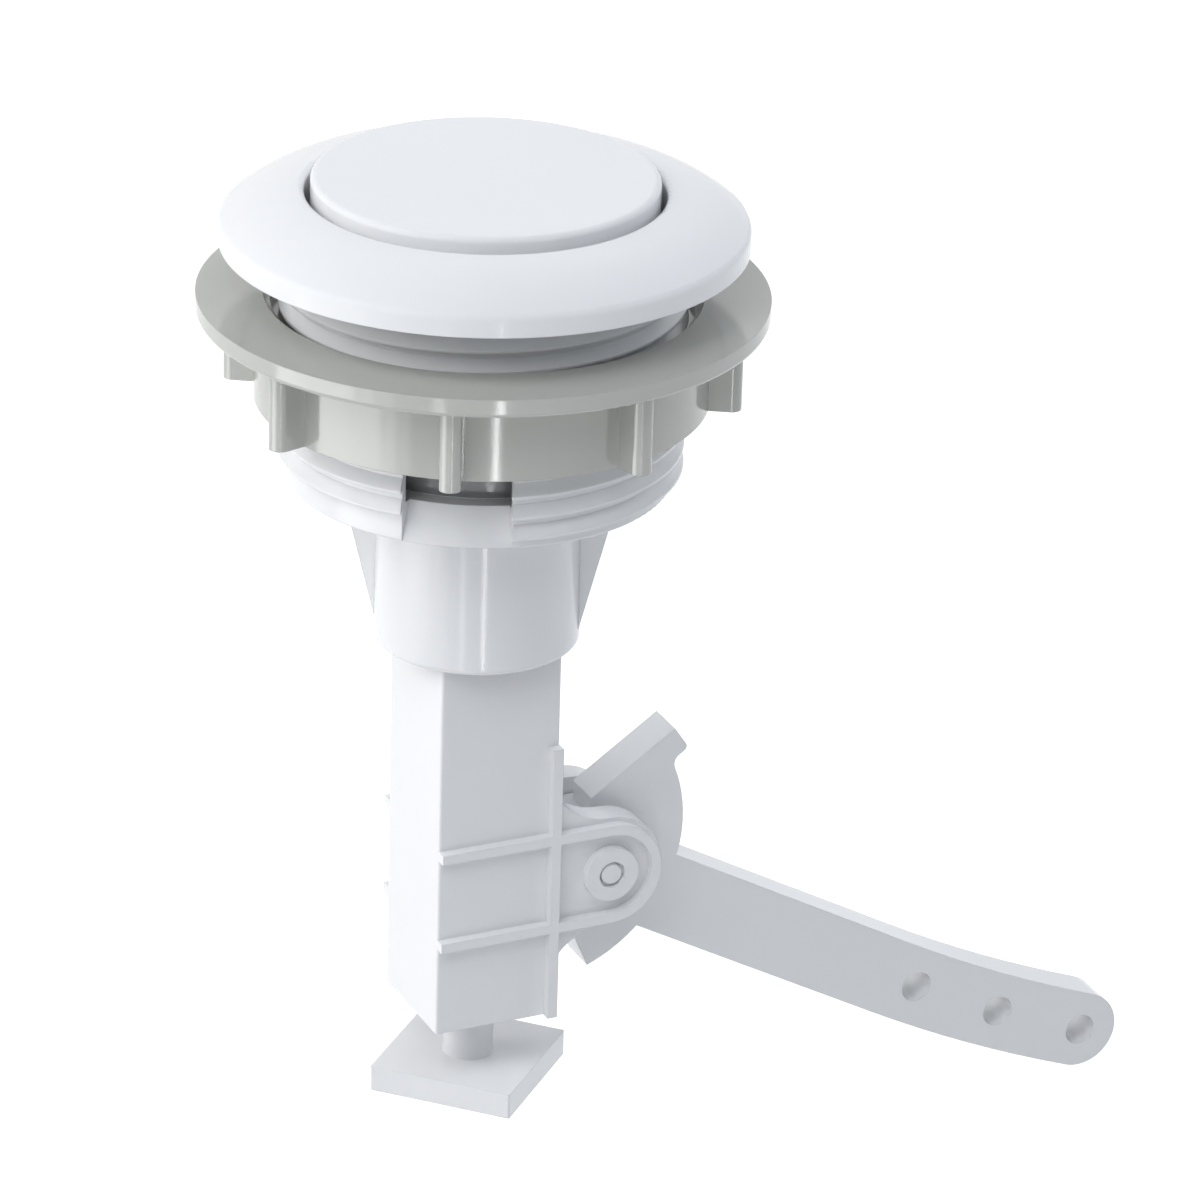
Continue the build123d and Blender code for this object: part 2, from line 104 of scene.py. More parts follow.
# Soft boxes: name, azimuth and elevation in degrees, and whether the light is cool
SOFT_BOXES = (
    ("key", -125, 20, False),
    ("side", -70, 45, False),
    ("front", -45, 20, True),
    ("top", -20, 60, True),
    ("fill", 80, 20, True),
    ("rim", 120, 35, True),
)

# Floor lamps: name, power setting, share of it, azimuth in degrees, distance, width and depth in metres
FLOOR_BOXES = (
    ("panel", "panel_power", 1.0, -92, 0.51, 0.36, 0.18),
    ("panel_edge", "panel_power", 0.115, -68.5, 0.51, 0.06, 0.18),
    ("panel_end", "panel_power", 0.055, -61.5, 0.51, 0.06, 0.18),
    ("strip", "strip_power", 1.0, -16.5, 0.48, 0.02, 0.26),
    ("broad_strip", "broad_power", 1.0, -40, 0.48, 0.04, 0.26),
)


def number(name, description, default, least=0):
    """Plain number property."""
    return FloatProperty(name=name, description=description, default=default, min=least)


def whole(name, description, default, least):
    """Whole number property."""
    return IntProperty(name=name, description=description, default=default, min=least)


def length(name, description, default):
    """Length property in metres."""
    return FloatProperty(name=name, description=description, default=default, unit="LENGTH", precision=5)


def share(name, description, default):
    """Property between nothing and all."""
    return FloatProperty(name=name, description=description, default=default, min=0, max=1, subtype="FACTOR")


def colour(name, description, default):
    """Linear colour property."""
    return FloatVectorProperty(
        name=name, description=description, default=default, min=0, max=1, subtype="COLOR"
    )


def point(name, description, default):
    """Place property in metres."""
    return FloatVectorProperty(
        name=name, description=description, default=default, unit="LENGTH", subtype="TRANSLATION"
    )


def degrees_of(name, description, default):
    """Angle property, with its default given in degrees."""
    return FloatProperty(name=name, description=description, default=radians(default), subtype="ANGLE")


def power(name, description, default):
    """Lamp power property in watts."""
    return FloatProperty(name=name, description=description, default=default, min=0, unit="POWER")


class ThreadSettings(bpy.types.PropertyGroup):
    """Sizes of the barbed thread on the sleeve."""

    root_radius: length("Root radius", "Sleeve between the ridges", 0.02685)
    crest_radius: length("Crest radius", "Top of the ridge", 0.02825)
    pitch: length("Pitch", "Climb in one turn", 0.003045)
    crest_width: length("Crest width", "Height of the ridge's upright face", 0.00045)
    slope_height: length("Slope height", "Height of the slope above the crest", 0.0014)
    corner_radius: length("Corner radius", "Rounding of the ridge's two corners", 0.0001)
    sunk_depth: length("Sunk depth", "How far the ridge goes into the sleeve's wall", 0.0004)
    start_height: length("Start height", "Top of the crest where the ridge starts", -0.03247)
    upper_top: length("Upper top", "Where the ridge ends under the flange", -0.0007)
    upper_low: length("Upper end", "Where the ridge goes into the nut's recess", NUT_HIGH - NUT_RECESS)
    lower_top: length("Lower top", "Where the ridge comes out of the nut", NUT_LOW - NUT_ROOM)
    cut_step: length("Cut step", "Room between the profile's points where a plane cuts the ridge", 0.000005)
    start_angle: degrees_of("Start angle", "Window's edge where the ridge starts", -104.15)
    land_angle: degrees_of("Land angle", "Angle of sleeve between two windows", 147.3)
    upper_points: whole("Upper points", "Points around the crest's upper corner", 4, 2)
    lower_points: whole("Lower points", "Points around the crest's lower corner", 5, 2)
    steps: whole("Steps", "Steps in a full turn", 300, 8)


class SpringSettings(bpy.types.PropertyGroup):
    """Wire and turns of the return spring."""

    wire_radius: length("Wire radius", "Half the wire's thickness", 0.0007)
    turns: whole("Turns", "Turns from end to end", 7, 1)
    steps: whole("Steps", "Steps in a full turn", 48, 8)
    sides: whole("Sides", "Sides around the wire", 16, 3)


class FinishSettings(bpy.types.PropertyGroup):
    """Colours, gloss and grain of the plastics and the wire."""

    cover_white: colour("Cover white", "Polished bezel and button", (0.85, 0.854, 0.862))
    moulding_white: colour("Moulding white", "Satin working parts", (0.835, 0.838, 0.845))
    nut_grey: colour("Nut grey", "Lock nut", (0.465, 0.47, 0.436))
    wire_steel: colour("Wire steel", "Return spring", (0.52, 0.52, 0.54))
    cover_gloss: share("Cover roughness", "Roughness of the bezel and button", 0.1)
    moulding_gloss: share("Moulding roughness", "Roughness of the working parts", 0.13)
    nut_gloss: share("Nut roughness", "Roughness of the nut", 0.11)
    cover_grain: length("Cover grain", "Depth of the grain on the bezel and button", 0.000006)
    moulding_grain: length("Moulding grain", "Depth of the grain on the working parts", 0.00002)
    nut_grain: length("Nut grain", "Depth of the grain on the nut", 0.000015)
    white_index: number("White index", "Refractive index of the white plastics", 1.49, 1)
    nut_index: number("Nut index", "Refractive index of the nut", 1.8, 1)
    edge_radius: length("Edge radius", "How far light rounds a moulded edge", 0.0002)
    cloud_scale: number("Cloud scale", "Clouds in a metre of plastic", 70.0)
    grain_scale: number("Grain scale", "Grains in a metre of plastic", 2600.0)
    grain_strength: share("Grain strength", "How much of the grain's depth is felt", 0.5)
    cloud_tone: share("Cloud tone", "Share of the colour that a cloud keeps", 0.985)
    cloud_dull: number("Cloud dullness", "Roughness in a cloud, as a share", 1.08)
    clear_dull: number("Clear dullness", "Roughness between clouds, as a share", 0.94)
    # Painted shade inside the sleeve: the share of the white left there, and the bore and ledge that bound it
    painted_shade_share: share("Inner share", "Share of the white that is left inside the sleeve", 0.4)
    inner_bore: length("Inner bore", "Distance from the axis where the inside ends", 0.0258)
    inner_ledge: length("Inner ledge", "Height where the inside starts", -0.0291)
    wire_cloud_scale: number("Wire cloud scale", "Clouds in a metre of wire", 300.0)
    wire_grain_scale: number("Wire grain scale", "Grains in a metre of wire", 4000.0)
    wire_tone: share("Wire tone", "Share of the colour that a cloud keeps on the wire", 0.8)
    wire_smooth: share("Wire smooth", "Least roughness of the wire", 0.22)
    wire_rough: share("Wire rough", "Most roughness of the wire", 0.42)


class StageSettings(bpy.types.PropertyGroup):
    """Camera, floor and lamps."""

    camera_azimuth: degrees_of("Camera azimuth", "Turn from the front towards +X", -25.202)
    camera_elevation: degrees_of("Camera elevation", "Height of the camera as an angle", 24.228)
    camera_roll: degrees_of("Camera roll", "Turn of the picture", 1.708)
    camera_distance: length("Camera distance", "From the aim point", 0.867617)
    camera_side: length("Camera side", "Aim point to the right of the axis", 0.017221)
    camera_height: length("Camera height", "Aim point above the lid", -0.053606)
    camera_lens: number("Lens", "Focal length in millimetres", 185.33)
    camera_sensor: number("Sensor", "Width of the sensor in millimetres", 36.0)
    camera_near: length("Near", "Nearest distance that the camera sees", 0.01)
    floor_drop: length("Floor drop", "Floor below the part", 0.09)
    floor_reach: length("Floor reach", "Half the floor's width", 4.0)
    floor_paper: share("Floor paper", "Share of light that the floor sends back to the part", 0.8)
    floor_shade: share("Floor shade", "Share of light and shadow that the camera sees on the floor", 0.3)
    floor_glow: share("Floor glow", "White that the camera sees on the floor without light", 0.93)
    ambient: colour("Ambient", "Even light from all sides", (0.07, 0.08, 0.098))
    lamp_target: point("Lamp target", "Where the soft boxes point", (0.02, 0, -0.06))
    lamp_distance: length("Lamp distance", "From the target to each soft box", 1.2)
    lamp_size: length("Lamp size", "Width and height of each soft box", 0.9)
    lamp_lift: length("Lamp lift", "Height of the floor lamps above the floor", 0.004)
    cool_tint: colour("Cool tint", "Light of the boxes in front and on the right", (0.915, 0.95, 1.0))
    key_power: power("Key", "Soft box behind on the left", 7.5)
    side_power: power("Side", "Soft box high on the left", 5.9)
    front_power: power("Front", "Soft box low in front", 1.1)
    top_power: power("Top", "Soft box high in front", 4.3)
    fill_power: power("Fill", "Soft box on the right", 3.9)
    rim_power: power("Rim", "Soft box behind on the right", 4.8)
    panel_power: power("Panel", "Flat panel on the floor on the left", 0.5)
    strip_power: power("Strip", "Narrow strip on the floor in front", 0.2)
    broad_power: power("Broad strip", "Broader strip on the floor in front", 0.08)


def closed_faces(rows, columns, first=0):
    """Faces of a grid that is closed across its columns, from index arrays, with a cap on each end row."""
    near = np.arange(rows - 1)[:, None] * columns + first
    far = near + columns
    column = np.arange(columns)[None, :]
    after = (column + 1) % columns
    faces = np.stack((near + column, near + after, far + after, far + column), -1).reshape(-1, 4).tolist()
    faces.append(np.arange(first, first + columns)[::-1].tolist())
    faces.append(np.arange(first + (rows - 1) * columns, first + rows * columns).tolist())
    return faces


def ridge_profile(settings):
    """Radius and height around the ridge: slope that faces up, upright crest and flat underside.

    Two short arcs round the crest's corners, the first one only as far as the slope leans.
    """
    corner = settings.corner_radius
    lean = np.arctan2(settings.crest_radius - settings.root_radius, settings.slope_height)
    upper = np.linspace(lean, 0, settings.upper_points)
    lower = np.linspace(0, -np.pi / 2, settings.lower_points)
    turn = np.concatenate((upper, lower))
    upper_middle = np.full_like(upper, -corner * np.tan(lean / 2))
    lower_middle = np.full_like(lower, corner - settings.crest_width)
    radius = settings.crest_radius - corner + corner * np.cos(turn)
    height = np.concatenate((upper_middle, lower_middle)) + corner * np.sin(turn)
    sunk = settings.root_radius - settings.sunk_depth
    top = settings.slope_height
    radius = np.concatenate(([sunk, settings.root_radius], radius, [sunk]))
    return radius, np.concatenate(([top, top], height, [-settings.crest_width]))


def thread_ridge(settings, first, last, low, high):
    """Grid of the ridge between two angles, as its profile carried up a helix of one pitch a turn.

    Planes at the lowest and highest height cut it flat, and there each point of the profile keeps a hair's
    breadth from the next, so that no two points fall together. Its ends lie in flat side walls of the
    windows, so the further out a point is, the less is its angle from the window's middle: the arc sine of
    wall over radius.
    """
    rows = max(LEAST_ROWS, int((last - first) / (2 * np.pi) * settings.steps))
    radius, height = ridge_profile(settings)
    half = (np.pi - settings.land_angle) / 2
    reach = half - np.arcsin(settings.root_radius * np.sin(half) / radius)[None, :]
    angle = np.linspace(first - reach, last + reach, rows)[:, 0]
    climb = settings.start_height + settings.pitch * (angle - settings.start_angle) / (2 * np.pi)
    apart = settings.cut_step * np.arange(len(radius))
    height = np.clip(climb + height[None, :], low + apart[::-1], high - apart)
    radius = np.broadcast_to(radius, height.shape)
    points = np.stack((radius * np.cos(angle), radius * np.sin(angle), height), -1)
    return points.reshape(-1, 3), rows, radius.shape[1]


def thread_spans(settings):
    """First angle, last angle and cutting planes of each visible length of the ridge."""
    turn = 2 * np.pi / settings.pitch

    def angle_at(height):
        return settings.start_angle + (height - settings.start_height) * turn

    end = angle_at(settings.lower_top + settings.crest_width)
    low = settings.start_height - settings.crest_width
    start = settings.start_angle
    while start < end:
        yield start, min(start + settings.land_angle, end), low, settings.lower_top
        start += np.pi
    first = angle_at(settings.upper_low - settings.slope_height)
    last = angle_at(settings.upper_top + settings.crest_width)
    yield first, last, settings.upper_low, settings.upper_top


def spring_coil(settings, low, high, reach):
    """Grid of a round wire on a helix between two heights.

    Each point is the helix's point at its angle, plus a circle that stands across the wire's direction there:
    its cosine goes outward and its sine goes down, leaned by the helix's slope.
    """
    wire = settings.wire_radius
    rows = settings.turns * settings.steps + 1
    angle = np.linspace(0, 2 * np.pi * settings.turns, rows)[:, None]
    around = np.linspace(0, 2 * np.pi, settings.sides, endpoint=False)[None, :]
    rise = (high - low - 2 * wire) / (2 * np.pi * settings.turns)
    slope = np.arctan2(rise, reach - wire)
    out = reach - wire + wire * np.cos(around)
    along = wire * np.sin(around) * np.sin(slope)
    height = low + wire + rise * angle - wire * np.sin(around) * np.cos(slope)
    x = out * np.cos(angle) - along * np.sin(angle)
    y = out * np.sin(angle) + along * np.cos(angle)
    return np.stack((x, y, height), -1).reshape(-1, 3), rows, settings.sides


def mesh_object(name, points, faces):
    """Object at the origin from point and face arrays, smooth except over sharp edges."""
    mesh = bpy.data.meshes.new(name)
    mesh.from_pydata(points.tolist(), [], faces)
    mesh.polygons.foreach_set("use_smooth", np.ones(len(mesh.polygons), bool))
    mesh.set_sharp_from_angle(angle=SMOOTH_LIMIT)
    mesh.update()
    obj = bpy.data.objects.new(name, mesh)
    bpy.context.scene.collection.objects.link(obj)
    return obj


def set_sockets(tree, made, sockets):
    """Put values or links on a node's named inputs, and give the node back."""
    for name, value in sockets.items():
        socket = made.inputs[name.replace("_", " ")]
        if isinstance(value, bpy.types.NodeSocket):
            tree.links.new(value, socket)
        else:
            socket.default_value = value
    return made


def node(tree, kind, **sockets):
    """New node with values or links on its named inputs."""
    return set_sockets(tree, tree.nodes.new(kind), sockets)


def group_node(tree, group, **sockets):
    """Group placed in a material with its own values."""
    made = tree.nodes.new("ShaderNodeGroup")
    made.node_tree = group
    return set_sockets(tree, made, sockets)


def math_of(tree, operation, first, second):
    """Output of a math node on two sockets."""
    made = tree.nodes.new("ShaderNodeMath")
    made.operation = operation
    tree.links.new(first, made.inputs[0])
    tree.links.new(second, made.inputs[1])
    return made.outputs[0]


def colour_mix(tree, factor, first, second):
    """Output of a mix between two linear colours."""
    mix = tree.nodes.new("ShaderNodeMix")
    mix.data_type = "RGBA"
    tree.links.new(factor, mix.inputs[MIX_FACTOR])
    mix.inputs[MIX_FIRST].default_value = (*first, 1)
    mix.inputs[MIX_SECOND].default_value = (*second, 1)
    return mix.outputs[MIX_RESULT]


def shader_mix(tree, factor, first, second):
    """Output of a mix between two shaders."""
    mix = tree.nodes.new("ShaderNodeMixShader")
    for place, socket in enumerate((factor, first, second)):
        tree.links.new(socket, mix.inputs[place])
    return mix.outputs[0]


def new_group(name, inputs, outputs):
    """Empty shader group with float, vector or colour sockets, and its two end nodes."""
    tree = bpy.data.node_groups.new(name, "ShaderNodeTree")
    for socket, kind in inputs.items():
        tree.interface.new_socket(socket, in_out="INPUT", socket_type=kind)
    for socket, kind in outputs.items():
        tree.interface.new_socket(socket, in_out="OUTPUT", socket_type=kind)
    return tree, tree.nodes.new("NodeGroupInput"), tree.nodes.new("NodeGroupOutput")


def moulded_skin():
    """Group: cloudy tone of moulded plastic and the height of its fine spark-eroded grain."""
    found = bpy.data.node_groups.get("moulded_skin")
    if found:
        return found
    tree, start, end = new_group(
        "moulded_skin",
        {
            "Coordinates": "NodeSocketVector",
            "Cloud Scale": "NodeSocketFloat",
            "Grain Scale": "NodeSocketFloat",
        },
        {"Tone": "NodeSocketFloat", "Height": "NodeSocketFloat"},
    )
    place = start.outputs["Coordinates"]
    cloud = node(tree, "ShaderNodeTexNoise", Vector=place, Scale=start.outputs["Cloud Scale"], Detail=3.0)
    grain = node(tree, "ShaderNodeTexNoise", Vector=place, Scale=start.outputs["Grain Scale"], Detail=2.0)
    tone = node(tree, "ShaderNodeMapRange", Value=cloud.outputs["Fac"], From_Min=0.3, From_Max=0.7)
    tree.links.new(tone.outputs["Result"], end.inputs["Tone"])
    tree.links.new(grain.outputs["Fac"], end.inputs["Height"])
    return tree


def inner_tone():
    """Group: painted shade, a factor that falls inside the sleeve, where light fades, and is one on the
    outside.

    A point is inside when its distance from the axis is under the bore and its height over the ledge.
    """
    found = bpy.data.node_groups.get("inner_tone")
    if found:
        return found
    tree, start, end = new_group(
        "inner_tone",
        {
            "Coordinates": "NodeSocketVector",
            "Bore": "NodeSocketFloat",
            "Ledge": "NodeSocketFloat",
            "Darkest": "NodeSocketFloat",
        },
        {"Factor": "NodeSocketFloat"},
    )
    parts = node(tree, "ShaderNodeSeparateXYZ", Vector=start.outputs["Coordinates"])
    across = node(tree, "ShaderNodeCombineXYZ", X=parts.outputs["X"], Y=parts.outputs["Y"])
    away = tree.nodes.new("ShaderNodeVectorMath")
    away.operation = "LENGTH"
    tree.links.new(across.outputs["Vector"], away.inputs[0])
    within = math_of(tree, "LESS_THAN", away.outputs["Value"], start.outputs["Bore"])
    above = math_of(tree, "GREATER_THAN", parts.outputs["Z"], start.outputs["Ledge"])
    inside = math_of(tree, "MULTIPLY", within, above)
    factor = node(tree, "ShaderNodeMapRange", Value=inside, To_Min=1.0, To_Max=start.outputs["Darkest"])
    tree.links.new(factor.outputs["Result"], end.inputs["Factor"])
    return tree


def eased_edge():
    """Group: normal that turns over each sharp edge as a moulded radius does."""
    found = bpy.data.node_groups.get("eased_edge")
    if found:
        return found
    tree, start, end = new_group("eased_edge", {"Radius": "NodeSocketFloat"}, {"Normal": "NodeSocketVector"})
    bevel = node(tree, "ShaderNodeBevel", Radius=start.outputs["Radius"])
    bevel.samples = 4
    tree.links.new(bevel.outputs["Normal"], end.inputs["Normal"])
    return tree


def new_material(name):
    """New material, its tree, its main shader and the socket of its object coordinates."""
    material = bpy.data.materials.new(name)
    material.use_nodes = True
    tree = material.node_tree
    place = tree.nodes.new("ShaderNodeTexCoord").outputs["Object"]
    return material, tree, tree.nodes["Principled BSDF"], place


def plastic(name, finish, tint, roughness, grain, index, inside_painted_shade=None):
    """Moulded plastic: clouded colour and gloss, fine grain and eased edges.

    Where a share is given for the inside, the colour falls to that share of itself within the sleeve: painted
    shade where light fades.
    """
    material, tree, shader, place = new_material(name)
    skin = group_node(
        tree,
        moulded_skin(),
        Coordinates=place,
        Cloud_Scale=finish.cloud_scale,
        Grain_Scale=finish.grain_scale,
    )
    edge = group_node(tree, eased_edge(), Radius=finish.edge_radius)
    tone = skin.outputs["Tone"]
    base = colour_mix(tree, tone, [value * finish.cloud_tone for value in tint], tint)
    gloss = node(
        tree,
        "ShaderNodeMapRange",
        Value=tone,
        To_Min=roughness * finish.cloud_dull,
        To_Max=roughness * finish.clear_dull,
    )
    bump = node(
        tree,
        "ShaderNodeBump",
        Height=skin.outputs["Height"],
        Distance=grain,
        Strength=finish.grain_strength,
        Normal=edge.outputs["Normal"],
    )
    # Painted shade: the colour falls inside the sleeve, where light fades
    if inside_painted_shade is not None:
        shade = group_node(
            tree,
            inner_tone(),
            Coordinates=place,
            Bore=finish.inner_bore,
            Ledge=finish.inner_ledge,
            Darkest=inside_painted_shade,
        )
        darker = node(tree, "ShaderNodeVectorMath")
        darker.operation = "SCALE"
        set_sockets(tree, darker, {"Vector": base, "Scale": shade.outputs["Factor"]})
        base = darker.outputs["Vector"]
    tree.links.new(base, shader.inputs["Base Color"])
    tree.links.new(gloss.outputs["Result"], shader.inputs["Roughness"])
    tree.links.new(bump.outputs["Normal"], shader.inputs["Normal"])
    shader.inputs["IOR"].default_value = index
    return material


def drawn_wire(name, finish):
    """Drawn steel wire: clouded colour, and a gloss that varies in fine grains."""
    material, tree, shader, place = new_material(name)
    skin = group_node(
        tree,
        moulded_skin(),
        Coordinates=place,
        Cloud_Scale=finish.wire_cloud_scale,
        Grain_Scale=finish.wire_grain_scale,
    )
    dark = [value * finish.wire_tone for value in finish.wire_steel]
    base = colour_mix(tree, skin.outputs["Tone"], dark, finish.wire_steel)
    gloss = node(
        tree,
        "ShaderNodeMapRange",
        Value=skin.outputs["Height"],
        To_Min=finish.wire_smooth,
        To_Max=finish.wire_rough,
    )
    tree.links.new(base, shader.inputs["Base Color"])
    tree.links.new(gloss.outputs["Result"], shader.inputs["Roughness"])
    shader.inputs["Metallic"].default_value = 1.0
    return material


def dress(obj, material):
    """Put one material on an object."""
    obj.data.materials.clear()
    obj.data.materials.append(material)


def moulding_plastic(finish):
    """The satin white of the working parts, with painted shade inside the sleeve, made once."""
    found = bpy.data.materials.get("satin_white_plastic")
    return found or plastic(
        "satin_white_plastic",
        finish,
        finish.moulding_white,
        finish.moulding_gloss,
        finish.moulding_grain,
        finish.white_index,
        inside_painted_shade=finish.painted_shade_share,
    )


class ACTUATOR_OT_covers(bpy.types.Operator):
    """Polish the bezel and the button"""

    bl_idname = "actuator.covers"
    bl_label = "Bezel and Button"

    def execute(self, context):
        finish = context.scene.actuator_finish
        white = plastic(
            "gloss_white_plastic",
            finish,
            finish.cover_white,
            finish.cover_gloss,
            finish.cover_grain,
            finish.white_index,
        )
        for name in COVERS:
            dress(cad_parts[name], white)
        return {"FINISHED"}


class ACTUATOR_OT_mouldings(bpy.types.Operator):
    """Give the working parts their satin white plastic"""

    bl_idname = "actuator.mouldings"
    bl_label = "Working Parts"

    def execute(self, context):
        white = moulding_plastic(context.scene.actuator_finish)
        for name in MOULDINGS:
            dress(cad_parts[name], white)
        return {"FINISHED"}


class ACTUATOR_OT_thread(bpy.types.Operator):
    """Raise the thread's ridges on the sleeve, above and below the nut and between its windows"""

    bl_idname = "actuator.thread"
    bl_label = "Sleeve Thread"

    def execute(self, context):
        settings = context.scene.actuator_thread
        points = []
        faces = []
        count = 0
        for span in thread_spans(settings):
            ridge, rows, columns = thread_ridge(settings, *span)
            faces += closed_faces(rows, columns, count)
            points.append(ridge)
            count += len(ridge)
        thread = mesh_object("sleeve_thread", np.concatenate(points), faces)
        dress(thread, moulding_plastic(context.scene.actuator_finish))
        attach(thread, "frame")
        return {"FINISHED"}


class ACTUATOR_OT_nut(bpy.types.Operator):
    """Give the lock nut its grey plastic"""

    bl_idname = "actuator.nut"
    bl_label = "Lock Nut"

    def execute(self, context):
        finish = context.scene.actuator_finish
        grey = plastic(
            "nut_grey_plastic",
            finish,
            finish.nut_grey,
            finish.nut_gloss,
            finish.nut_grain,
            finish.nut_index,
        )
        dress(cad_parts["lock_nut"], grey)
        return {"FINISHED"}


class ACTUATOR_OT_spring(bpy.types.Operator):
    """Wind the return spring from drawn steel, in place of the plain spring part"""

    bl_idname = "actuator.spring"
    bl_label = "Return Spring"

    def execute(self, context):
        settings = context.scene.actuator_spring
        points, rows, columns = spring_coil(settings, SPRING_LOW, SPRING_HIGH, SPRING_REACH)
        spring = mesh_object("coil_spring", points, closed_faces(rows, columns))
        steel = drawn_wire("spring_wire", context.scene.actuator_finish)
        dress(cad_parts["return_spring"], steel)
        dress(spring, steel)
        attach(spring, "frame")
        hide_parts("return_spring")
        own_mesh(spring)
        return {"FINISHED"}


def direction(azimuth, elevation):
    """Unit vector to a place, from its turn from the front and its height as an angle."""
    return Vector((sin(azimuth) * cos(elevation), -cos(azimuth) * cos(elevation), sin(elevation)))


def make_camera(stage):
    """Camera at the fitted place, aimed at a point beside the button's axis."""
    back = direction(stage.camera_azimuth, stage.camera_elevation)
    level = Vector((cos(stage.camera_azimuth), sin(stage.camera_azimuth), 0))
    upright = back.cross(level)
    right = level * cos(stage.camera_roll) + upright * sin(stage.camera_roll)
    up = upright * cos(stage.camera_roll) - level * sin(stage.camera_roll)
    place = level * stage.camera_side + Vector((0, 0, stage.camera_height)) + back * stage.camera_distance
    data = bpy.data.cameras.new("camera")
    data.sensor_width = stage.camera_sensor
    data.lens = stage.camera_lens
    data.clip_start = stage.camera_near
    camera = bpy.data.objects.new("camera", data)
    camera.matrix_world = Matrix.Translation(place) @ Matrix((right, up, back)).transposed().to_4x4()
    bpy.context.scene.collection.objects.link(camera)
    bpy.context.scene.camera = camera


def area_lamp(name, size, watts, tint, matrix, in_reflections):
    """Rectangular lamp that the camera does not see."""
    data = bpy.data.lights.new(name, "AREA")
    data.shape = "RECTANGLE"
    data.size, data.size_y = size
    data.energy = watts
    data.color = tint
    lamp = bpy.data.objects.new(name, data)
    lamp.matrix_world = matrix
    lamp.visible_camera = False
    lamp.visible_glossy = in_reflections
    bpy.context.scene.collection.objects.link(lamp)


def soft_box_matrix(stage, azimuth, elevation):
    """Place of a soft box that faces the middle of the part."""
    back = direction(radians(azimuth), radians(elevation))
    place = Vector(stage.lamp_target) + back * stage.lamp_distance
    return Matrix.Translation(place) @ back.to_track_quat("Z", "Y").to_matrix().to_4x4()


def floor_box_matrix(azimuth, distance, height):
    """Place of a lamp that lies on the floor, points up and runs away from the part."""
    outward = direction(radians(azimuth), 0)
    down = Vector((0, 0, -1))
    place = Matrix.Translation(outward * distance + Vector((0, 0, height)))
    return place @ Matrix((outward.cross(down), outward, down)).transposed().to_4x4()


def seen_directly(tree):
    """Mask that is one for the camera, for reflections and through glass."""
    path = tree.nodes.new("ShaderNodeLightPath")
    first = math_of(tree, "MAXIMUM", path.outputs["Is Camera Ray"], path.outputs["Is Glossy Ray"])
    return math_of(tree, "MAXIMUM", first, path.outputs["Is Transmission Ray"])


def make_world(ambient):
    """White surround for the camera and reflections, and a weaker even light for surfaces."""
    world = bpy.data.worlds.new("studio")
    bpy.context.scene.world = world
    world.use_nodes = True
    tree = world.node_tree
    base = colour_mix(tree, seen_directly(tree), ambient, WHITE)
    tree.links.new(base, tree.nodes["Background"].inputs["Color"])


def grey_paper(tree, level):
    """Output of a matt grey shader."""
    return node(tree, "ShaderNodeBsdfDiffuse", Color=(level, level, level, 1)).outputs[0]


def make_floor(stage, height):
    """Wide flat floor that the camera sees as nearly even white, and that is clear from below."""
    corners = np.array(((-1, -1), (1, -1), (1, 1), (-1, 1))) * stage.floor_reach
    points = np.column_stack((corners, np.full(len(corners), height)))
    floor = mesh_object("studio_floor", points, [list(range(len(corners)))])
    material = bpy.data.materials.new("studio_floor")
    material.use_nodes = True
    tree = material.node_tree
    tree.nodes.clear()
    glow = node(tree, "ShaderNodeEmission", Color=(*WHITE, 1), Strength=stage.floor_glow)
    shown = tree.nodes.new("ShaderNodeAddShader")
    tree.links.new(grey_paper(tree, stage.floor_shade), shown.inputs[0])
    tree.links.new(glow.outputs[0], shown.inputs[1])
    paper = grey_paper(tree, stage.floor_paper)
    above = shader_mix(tree, seen_directly(tree), paper, shown.outputs[0])
    clear = tree.nodes.new("ShaderNodeBsdfTransparent").outputs[0]
    below = tree.nodes.new("ShaderNodeNewGeometry").outputs["Backfacing"]
    surface = tree.nodes.new("ShaderNodeOutputMaterial").inputs["Surface"]
    tree.links.new(shader_mix(tree, below, above, clear), surface)
    dress(floor, material)


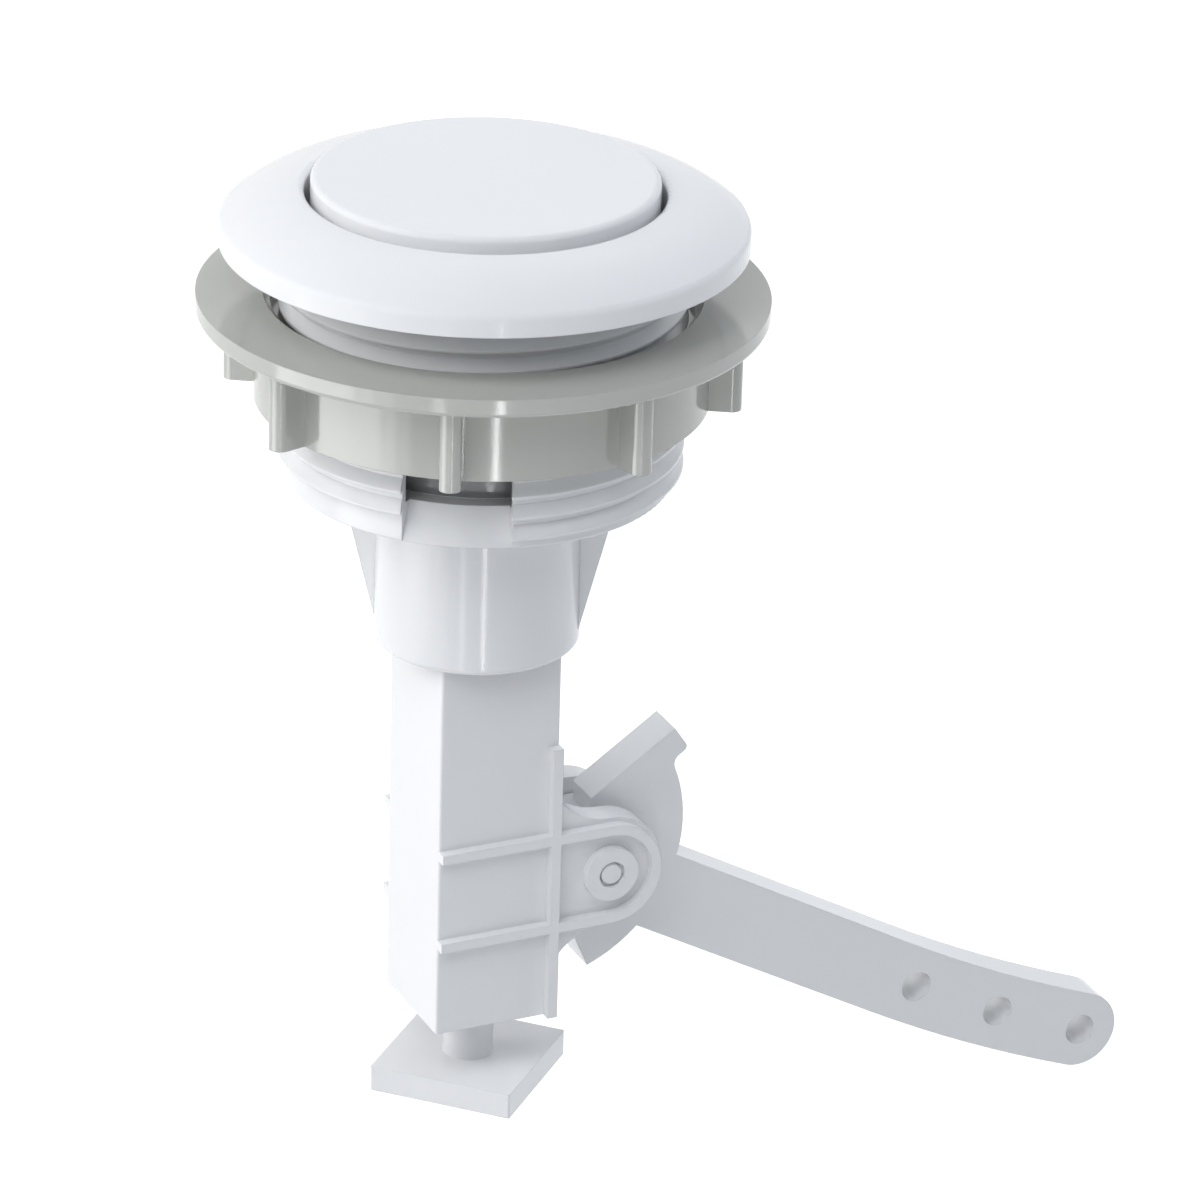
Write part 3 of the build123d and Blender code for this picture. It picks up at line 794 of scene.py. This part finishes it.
class ACTUATOR_OT_stage(bpy.types.Operator):
    """Set up the camera, the white floor and the soft studio lamps"""

    bl_idname = "actuator.stage"
    bl_label = "Studio"

    def execute(self, context):
        stage = context.scene.actuator_stage
        context.scene.view_settings.view_transform = "Standard"
        make_camera(stage)
        make_world(stage.ambient)
        floor = CAD_BOX[0][2] - stage.floor_drop
        make_floor(stage, floor)
        for name, azimuth, elevation, cool in SOFT_BOXES:
            area_lamp(
                name,
                (stage.lamp_size, stage.lamp_size),
                getattr(stage, name + "_power"),
                stage.cool_tint if cool else WHITE,
                soft_box_matrix(stage, azimuth, elevation),
                in_reflections=False,
            )
        for name, setting, part, azimuth, distance, width, depth in FLOOR_BOXES:
            area_lamp(
                name,
                (width, depth),
                part * getattr(stage, setting),
                WHITE,
                floor_box_matrix(azimuth, distance, floor + stage.lamp_lift),
                in_reflections=True,
            )
        return {"FINISHED"}


class ACTUATOR_PT_panel(bpy.types.Panel):
    """Buttons and values for the actuator's looks"""

    bl_idname = "ACTUATOR_PT_panel"
    bl_label = "Push Button Actuator"
    bl_space_type = "VIEW_3D"
    bl_region_type = "UI"
    bl_category = "Actuator"

    def draw(self, context):
        for operator in OPERATORS:
            self.layout.operator(operator.bl_idname)
        for name, group in SETTINGS.items():
            values = getattr(context.scene, name)
            box = self.layout.box()
            for key in group.__annotations__:
                box.prop(values, key)


SETTINGS = {
    "actuator_thread": ThreadSettings,
    "actuator_spring": SpringSettings,
    "actuator_finish": FinishSettings,
    "actuator_stage": StageSettings,
}
OPERATORS = (
    ACTUATOR_OT_covers,
    ACTUATOR_OT_mouldings,
    ACTUATOR_OT_thread,
    ACTUATOR_OT_nut,
    ACTUATOR_OT_spring,
    ACTUATOR_OT_stage,
)


def register():
    """Register the classes and hang their values on the scene."""
    for group in SETTINGS.values():
        bpy.utils.register_class(group)
    for operator in OPERATORS:
        bpy.utils.register_class(operator)
    bpy.utils.register_class(ACTUATOR_PT_panel)
    for name, group in SETTINGS.items():
        setattr(bpy.types.Scene, name, PointerProperty(type=group))


def unregister():
    """Take the values and the classes away again."""
    for name in SETTINGS:
        delattr(bpy.types.Scene, name)
    bpy.utils.unregister_class(ACTUATOR_PT_panel)
    for kind in (*reversed(OPERATORS), *reversed(SETTINGS.values())):
        bpy.utils.unregister_class(kind)


def main():
    """Build the looks in order."""
    register()
    bpy.ops.actuator.covers()
    bpy.ops.actuator.mouldings()
    bpy.ops.actuator.thread()
    bpy.ops.actuator.nut()
    bpy.ops.actuator.spring()
    bpy.ops.actuator.stage()


if __name__ == "__main__":
    main()
